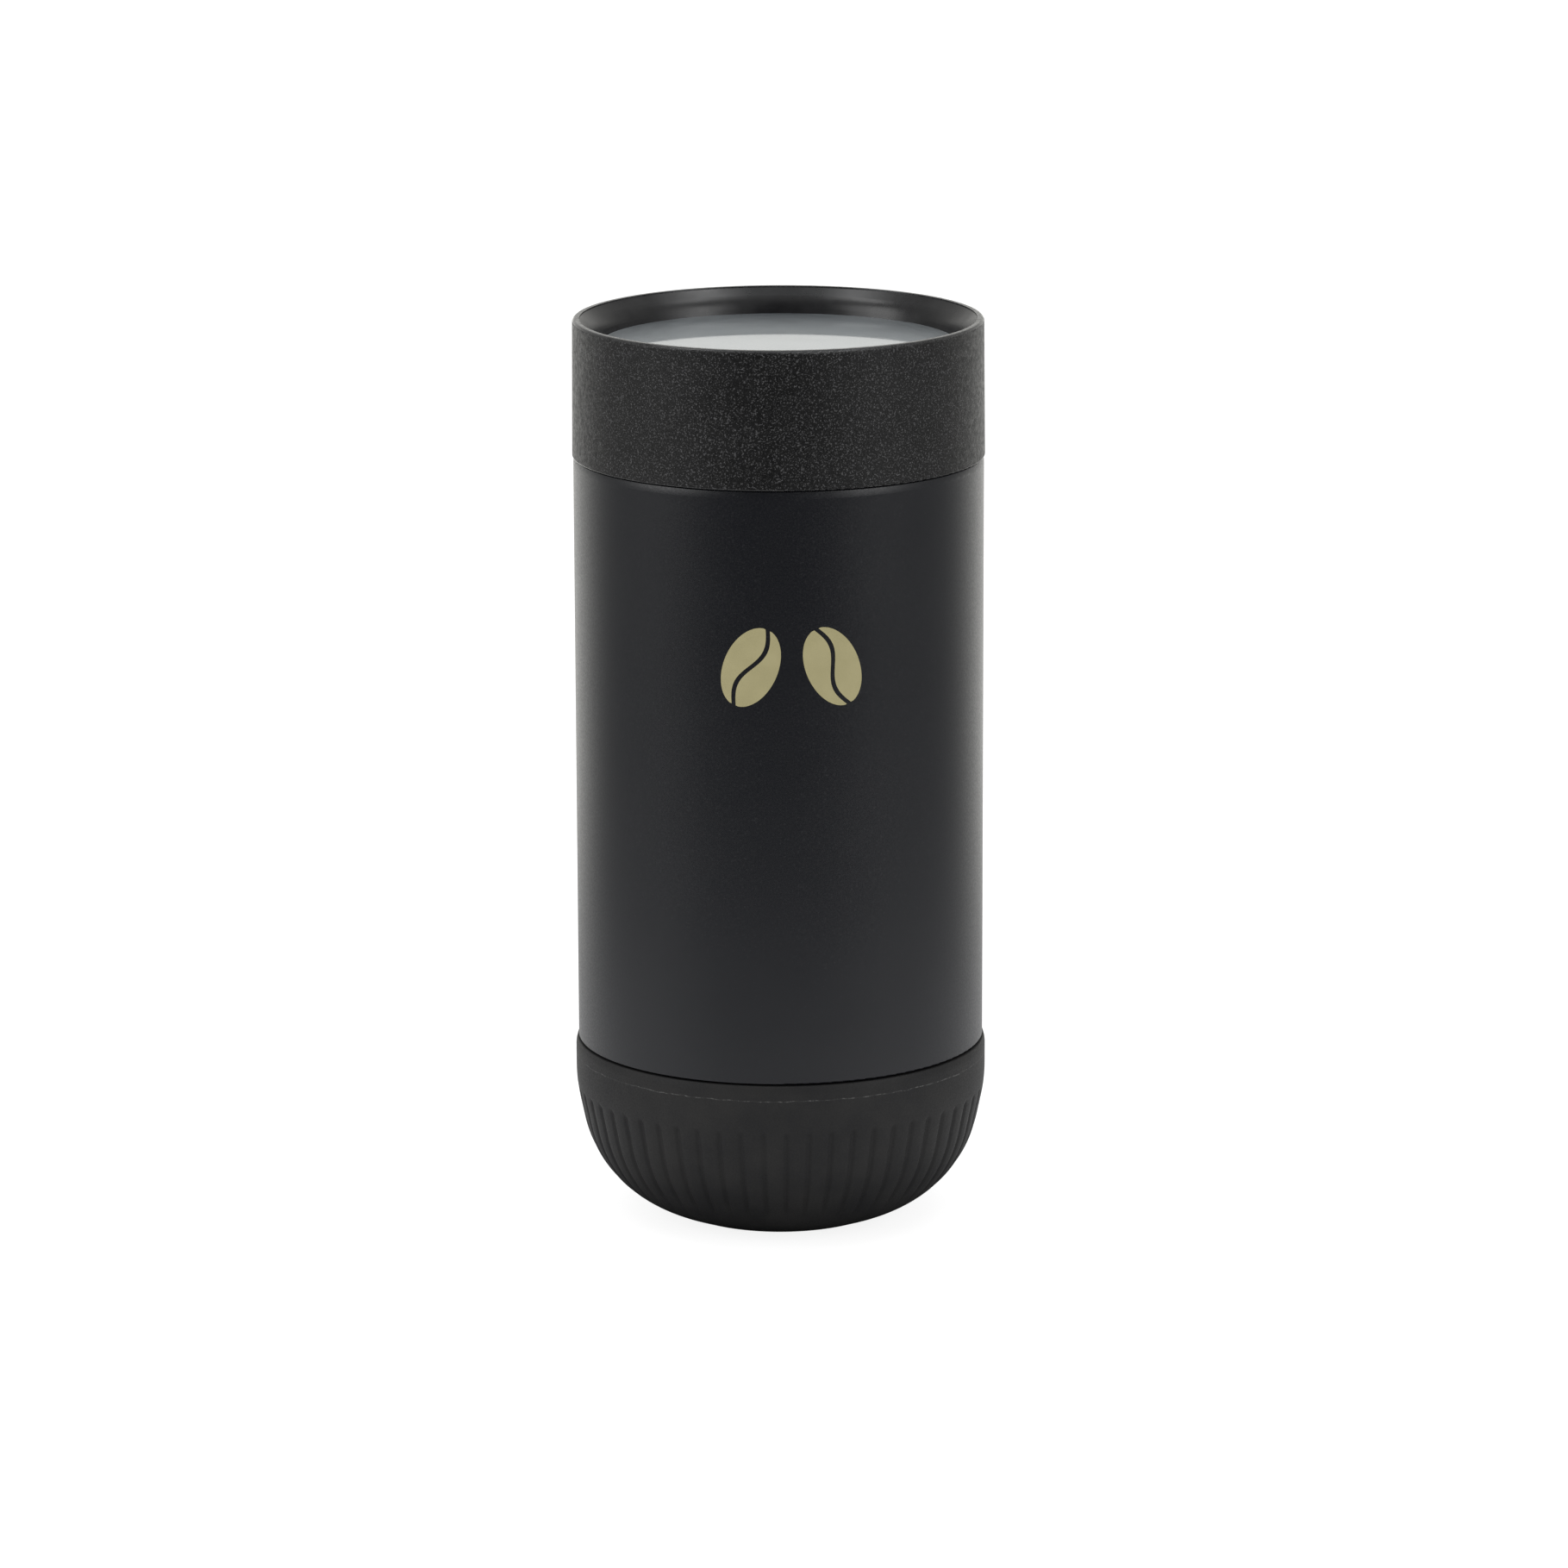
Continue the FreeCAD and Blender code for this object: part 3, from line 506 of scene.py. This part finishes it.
def build_boot():
    """The boot with soft rounded ribs, its plain band and the fine flash line round it."""
    full = rounded(BOOT_OUTSIDE + BOOT_INSIDE, ARC_STEPS)
    top = max(range(len(full)), key=lambda i: (full[i].y, full[i].x))
    outside = resampled(full[: top + 1], boot_row_spacing)
    inside = full[top + 1:]
    for point in outside:
        flash = 1 - smooth_step(abs(point.y - FLASH_HEIGHT), 0, FLASH_HALF_WIDTH)
        point.x += FLASH_PROUD * flash
    vertices, faces = [], []
    for rib in range(RIB_COUNT):
        for phase in RIB_PHASES:
            vertices += boot_column(outside, inside, rib, phase)
    rows = len(outside) + len(inside)
    columns = RIB_COUNT * len(RIB_PHASES)
    for column in range(columns):
        here = column * rows
        there = (column + 1) % columns * rows
        for row in range(rows):
            ahead = (row + 1) % rows
            faces.append((here + row, there + row, there + ahead, here + ahead))
    boot = new_piece("ribbed_boot", vertices, faces, FINISHES["boot_rubber"])
    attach(boot, "vessel")
    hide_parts("silicone_boot")


# ---------------------------------------------------------------- the printed emblem

# In millimetres, but for the tilt in degrees.
EMBLEM_CENTRE_HEIGHT = 110.4
EMBLEM_CENTRE_ACROSS = 2.3
BEAN_HALF_HEIGHT = 7.6
BEAN_HALF_WIDTH = 4.9
BEAN_SPREAD = 7.4
BEAN_TILT = 24
BEAN_TIP_SHARE = 0.985
BEAN_SPLIT_HALF_WIDTH = 0.42
BEAN_SPLIT_SWAY = 1.25
BEAN_STEPS_ACROSS = 10
BEAN_STEPS_UP = 48
INK_THICKNESS = 0.03
BODY_RADIUS = 37.5


def bean_half(side):
    """Rows of flat points over one half of a bean: side is -1 for its left half and 1 for its right."""
    rows = []
    for j in range(BEAN_STEPS_UP + 1):
        share = math.sin(math.pi / 2 * (2 * j / BEAN_STEPS_UP - 1)) * BEAN_TIP_SHARE
        rim = side * BEAN_HALF_WIDTH * math.sqrt(1 - share * share)
        split = BEAN_SPLIT_SWAY * math.sin(math.pi * share) + side * BEAN_SPLIT_HALF_WIDTH
        if side * (rim - split) < 0:
            split = rim
        height = BEAN_HALF_HEIGHT * share
        steps = range(BEAN_STEPS_ACROSS + 1)
        rows.append([Vector((split + (rim - split) * i / BEAN_STEPS_ACROSS, height)) for i in steps])
    return rows


def on_body(flat, bean, radius):
    """The point in metres where a bean's flat point lands on a cylinder of the given radius."""
    spot = Matrix.Rotation(math.radians(BEAN_TILT * bean), 2) @ flat
    angle = (spot.x + BEAN_SPREAD * bean + EMBLEM_CENTRE_ACROSS) / BODY_RADIUS
    height = spot.y + EMBLEM_CENTRE_HEIGHT
    return (radius * math.sin(angle) * MM, -radius * math.cos(angle) * MM, height * MM)


def skin_faces(start, rows, width):
    """The faces of a closed thin skin of two layers, each rows by width points, from point start on."""
    layer = rows * width
    faces = []
    for j in range(rows - 1):
        for i in range(width - 1):
            a = start + j * width + i
            quad = (a, a + 1, a + width + 1, a + width)
            faces.append(quad)
            faces.append(tuple(layer + v for v in reversed(quad)))
        for i in (0, width - 1):
            a = start + j * width + i
            faces.append((a, a + width, a + width + layer, a + layer))
    for j in (0, rows - 1):
        for i in range(width - 1):
            a = start + j * width + i
            faces.append((a, a + 1, a + 1 + layer, a + layer))
    return faces


def build_emblem():
    """Two printed beans, each in two halves, laid on the front of the body as a thin skin of ink."""
    vertices, faces = [], []
    for bean in (-1, 1):
        for side in (-1, 1):
            rows = bean_half(side)
            faces += skin_faces(len(vertices), len(rows), len(rows[0]))
            for radius in (BODY_RADIUS + INK_THICKNESS, BODY_RADIUS - INK_THICKNESS):
                vertices += [on_body(flat, bean, radius) for row in rows for flat in row]
    emblem = new_piece("printed_emblem", vertices, faces, INK)
    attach(emblem, "vessel")


# ---------------------------------------------------------------- the return spring

SPRING_TURNS = 5
SPRING_STEPS_A_TURN = 48
SPRING_SIDES = 14
SPRING_WIRE_RADIUS = 0.5 * MM


def build_spring():
    """The coil spring under the button's washer, built at rest; in the real lid it shortens as the button
    goes down.
    """
    low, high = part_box("return_spring")
    foot = low.z + SPRING_WIRE_RADIUS
    head = high.z - SPRING_WIRE_RADIUS
    reach = high.x - SPRING_WIRE_RADIUS
    slope = math.atan2((head - foot) / SPRING_TURNS, 2 * math.pi * reach)
    steps = SPRING_TURNS * SPRING_STEPS_A_TURN
    vertices = []
    for step in range(steps + 1):
        turn = 2 * math.pi * step / SPRING_STEPS_A_TURN
        outward = Vector((math.cos(turn), math.sin(turn), 0))
        along = Vector((-math.sin(turn), math.cos(turn), 0))
        upward = math.cos(slope) * Vector((0, 0, 1)) - math.sin(slope) * along
        centre = reach * outward + Vector((0, 0, foot + (head - foot) * step / steps))
        for side in range(SPRING_SIDES):
            angle = 2 * math.pi * side / SPRING_SIDES
            ray = math.cos(angle) * outward + math.sin(angle) * upward
            vertices.append(centre + SPRING_WIRE_RADIUS * ray)
    first_end = tuple(range(SPRING_SIDES))
    last_end = tuple(steps * SPRING_SIDES + side for side in range(SPRING_SIDES))
    faces = [first_end, last_end]
    for step in range(steps):
        for side in range(SPRING_SIDES):
            here = step * SPRING_SIDES + side
            beside = step * SPRING_SIDES + (side + 1) % SPRING_SIDES
            faces.append((here, beside, beside + SPRING_SIDES, here + SPRING_SIDES))
    spring = new_piece("button_spring_coil", vertices, faces, FINISHES["spring_steel"])
    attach(spring, "lid")
    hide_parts("return_spring")
    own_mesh(spring)


# ---------------------------------------------------------------- finishes on the CAD nodes

def finish_nodes():
    """Gives every CAD node the material that its slot in the record names."""
    for entry in frame["record"]["subparts"]:
        node = frame["nodes"][entry["node"]]
        node.data.materials.clear()
        node.data.materials.append(FINISHES[entry["material_slot"]])


# ---------------------------------------------------------------- the stage

# Sizes on the stage are in metres.
FLOOR_RADIUS = 8.0
FLOOR_COLOR = (0.22, 0.22, 0.22)
FLOOR_ROUGHNESS = 0.9
FLOOR_SPECULAR = 0.1
FLOOR_GLOW = 0.86
POOL_RADIUS = 0.42
POOL_LIFT = 0.0002
POOL_FADE_START = 0.10
POOL_GLOW = 1.0
POOL_SHADE_START = 0.022
POOL_SHADE_END = 0.075
DISC_SIDES = 256


def flat_disc(name, radius, height, material):
    """A flat round stage piece about the tumbler's axis."""
    mesh = bpy.data.meshes.new(name)
    turns = [2 * math.pi * step / DISC_SIDES for step in range(DISC_SIDES)]
    rim = [(radius * math.cos(turn), radius * math.sin(turn), height) for turn in turns]
    mesh.from_pydata(rim, [], [tuple(range(DISC_SIDES))])
    disc = new_object(name, mesh)
    disc.data.materials.append(material)
    return disc


def build_floor():
    """A floor that glows nearly white, so that the shadow on it stays faint, and runs out of view."""
    made, shader = new_material("studio_floor", FLOOR_COLOR, FLOOR_ROUGHNESS, specular=FLOOR_SPECULAR)
    shader.inputs["Emission Color"].default_value = (1, 1, 1, 1)
    shader.inputs["Emission Strength"].default_value = FLOOR_GLOW
    floor = flat_disc("studio_floor", FLOOR_RADIUS, 0, made)
    floor.visible_glossy = False


def build_sheen_pool():
    """The lit floor as the glossy pieces mirror it: a pool that fades outward, and dark by the foot."""
    made = bpy.data.materials.new("sheen_pool")
    made.use_nodes = True
    made.node_tree.nodes.clear()
    where = add(made, "ShaderNodeTexCoord")
    length = add(made, "ShaderNodeVectorMath", operation="LENGTH")
    link(made, where.outputs["Object"], length.inputs[0])
    reach = length.outputs["Value"]
    fade_span = (POOL_FADE_START, POOL_RADIUS)
    outward = remap(made, reach, span=fade_span, onto=(POOL_GLOW, 0))
    shade = remap(made, reach, span=(POOL_SHADE_START, POOL_SHADE_END))
    glow = add(made, "ShaderNodeEmission")
    link(made, math_node(made, "MULTIPLY", outward, shade), glow.inputs["Strength"])
    clear = add(made, "ShaderNodeBsdfTransparent")
    mixed = mix_shaders(made, remap(made, reach, span=fade_span, onto=(1, 0)), clear, glow)
    link(made, mixed, add(made, "ShaderNodeOutputMaterial").inputs["Surface"])
    pool = flat_disc("sheen_pool", POOL_RADIUS, POOL_LIFT, made)
    pool.visible_camera = False
    pool.visible_diffuse = False
    pool.visible_shadow = False
    pool.visible_transmission = False


# ---------------------------------------------------------------- light and camera

BACKDROP_STRENGTH = 1.25

# The brightness of each part of the room that the glossy pieces mirror.
ROOM_COLOR = (1.0, 0.995, 0.955)
ROOM_FRONT = 0.02
ROOM_SIDE = 0.32
ROOM_BACK_HIGH = 0.90
ROOM_BACK_LOW = 1.9
ROOM_BACK_TOP = 0.50
ROOM_CEILING = 0.15

# Where those parts blend into each other, as directions: -1 is front or down, and 1 is back or up.
FRONT_TO_SIDE = (-0.95, -0.2)
SIDE_TO_BACK = (0.35, 0.95)
BACK_LOW_TO_HIGH = (-0.1, 0.1)
BACK_HIGH_TO_TOP = (0.2, 0.32)
WALL_TO_CEILING = (0.6, 0.95)

WHITE = (1, 1, 1)
COOL_WHITE = (0.85, 0.94, 1.0)
LIGHT_TARGET = (0, 0, 0.1)

# An area light: where it stands and its size in metres, its power in watts, and its colour.
Softbox = namedtuple("Softbox", "name place width height power color")
SOFTBOXES = [
    Softbox("top_softbox", (0.0, 0.25, 1.2), 1.0, 0.8, power=1.0, color=COOL_WHITE),
    Softbox("high_left_softbox", (-0.56, -0.03, 1.15), 0.30, 0.40, power=1.55, color=WHITE),
    Softbox("high_right_softbox", (0.50, -0.03, 1.15), 0.30, 0.40, power=1.7, color=WHITE),
    Softbox("left_softbox", (-1.10, -0.48, 0.58), 0.75, 0.85, power=5.4, color=WHITE),
    Softbox("right_softbox", (0.95, -0.72, 0.58), 0.65, 0.85, power=4.8, color=WHITE),
]

# The place in metres, the angles in degrees, the lens and its sensor in millimetres.
CAMERA_PLACE = (0.00169, -1.2339, 0.3691)
CAMERA_LOOKS_DOWN = 13.17
CAMERA_ROLL = 0.18
LENS = 157.66
SENSOR_WIDTH = 36


def build_softbox(box):
    """A rectangular area light aimed at the tumbler."""
    data = bpy.data.lights.new(box.name, "AREA")
    data.shape = "RECTANGLE"
    data.size = box.width
    data.size_y = box.height
    data.energy = box.power
    data.color = box.color
    light = new_object(box.name, data)
    light.location = box.place
    light.rotation_euler = (Vector(LIGHT_TARGET) - Vector(box.place)).to_track_quat("-Z", "Y").to_euler()
    light.visible_camera = False


def build_world():
    """Even white light; what the glossy pieces mirror is a studio that is bright behind and dark in front."""
    world = bpy.data.worlds.new("studio")
    bpy.context.scene.world = world
    world.use_nodes = True
    world.node_tree.nodes.clear()
    toward_back, up = coordinates(world, "Generated")[1:]
    sides = remap(world, toward_back, span=FRONT_TO_SIDE, onto=(ROOM_FRONT, ROOM_SIDE))
    behind = remap(world, toward_back, span=SIDE_TO_BACK)
    low_extra = remap(world, up, span=BACK_LOW_TO_HIGH, onto=(ROOM_BACK_LOW - ROOM_BACK_HIGH, 0))
    high_extra = (ROOM_BACK_HIGH - ROOM_SIDE, ROOM_BACK_TOP - ROOM_SIDE)
    back = math_node(world, "ADD", low_extra, remap(world, up, span=BACK_HIGH_TO_TOP, onto=high_extra))
    above = remap(world, up, span=WALL_TO_CEILING, onto=(0, ROOM_CEILING))
    front_and_above = math_node(world, "ADD", sides, above)
    total = math_node(world, "ADD", front_and_above, math_node(world, "MULTIPLY", behind, back))
    room = add(world, "ShaderNodeBackground", {"Color": (*ROOM_COLOR, 1)})
    link(world, total, room.inputs["Strength"])
    backdrop = add(world, "ShaderNodeBackground", {"Strength": BACKDROP_STRENGTH})
    ray = add(world, "ShaderNodeLightPath")
    mixed = mix_shaders(world, ray.outputs["Is Glossy Ray"], backdrop, room)
    link(world, mixed, add(world, "ShaderNodeOutputWorld").inputs["Surface"])


def build_camera():
    """A long lens above the tumbler's rim, looking down at it."""
    data = bpy.data.cameras.new("camera")
    data.lens = LENS
    data.sensor_width = SENSOR_WIDTH
    camera = new_object("camera", data)
    camera.location = CAMERA_PLACE
    camera.rotation_euler = (math.radians(90 - CAMERA_LOOKS_DOWN), math.radians(CAMERA_ROLL), 0)
    bpy.context.scene.camera = camera


bpy.context.scene.view_settings.view_transform = "Standard"
build_camera()
build_world()
build_floor()
build_sheen_pool()
for box in SOFTBOXES:
    build_softbox(box)
finish_nodes()
build_boot()
build_emblem()
build_spring()
